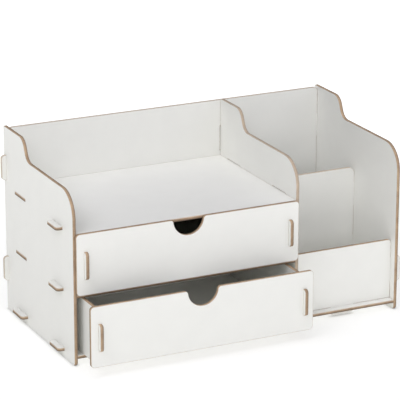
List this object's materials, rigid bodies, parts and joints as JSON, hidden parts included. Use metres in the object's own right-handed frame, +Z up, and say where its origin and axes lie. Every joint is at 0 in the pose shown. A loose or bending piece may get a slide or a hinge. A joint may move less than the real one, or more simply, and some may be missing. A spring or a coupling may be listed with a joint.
{
  "type": "desk organizer",
  "caption": "Flat-pack desk organizer of slotted board, with an open stepped tray over two sliding drawers and a divided pen bay on the right.",
  "frame": {"origin": "on the floor, under the middle of the whole object's bounding box as it stands with the lower drawer 30 mm open", "axes": "+X to the right as seen from the front, +Y from the front towards the rear, +Z up"},
  "size_m": [0.345, 0.2014, 0.181],
  "materials": {
    "white_board": "thin fibreboard, matt white painted faces and bare brown laser-cut edges"
  },
  "bodies": {
    "case": {"left_side_panel": "white_board", "centre_panel": "white_board", "right_side_panel": "white_board", "back_panel": "white_board", "tray_floor": "white_board", "middle_shelf": "white_board", "bottom_panel": "white_board", "pen_divider": "white_board", "pen_front_plate": "white_board"},
    "upper_drawer": {"upper_drawer_front": "white_board", "upper_drawer_left_side": "white_board", "upper_drawer_right_side": "white_board", "upper_drawer_back": "white_board", "upper_drawer_bottom": "white_board"},
    "lower_drawer": {"lower_drawer_front": "white_board", "lower_drawer_left_side": "white_board", "lower_drawer_right_side": "white_board", "lower_drawer_back": "white_board", "lower_drawer_bottom": "white_board"}
  },
  "joints": [
    {"name": "upper_drawer_slide", "type": "slide", "parent": "case", "child": "upper_drawer", "axis": [0, -1, 0], "range_m": [0, 0.12]},
    {"name": "lower_drawer_slide", "type": "slide", "parent": "case", "child": "lower_drawer", "axis": [0, -1, 0], "range_m": [-0.03, 0.09]}
  ]
}
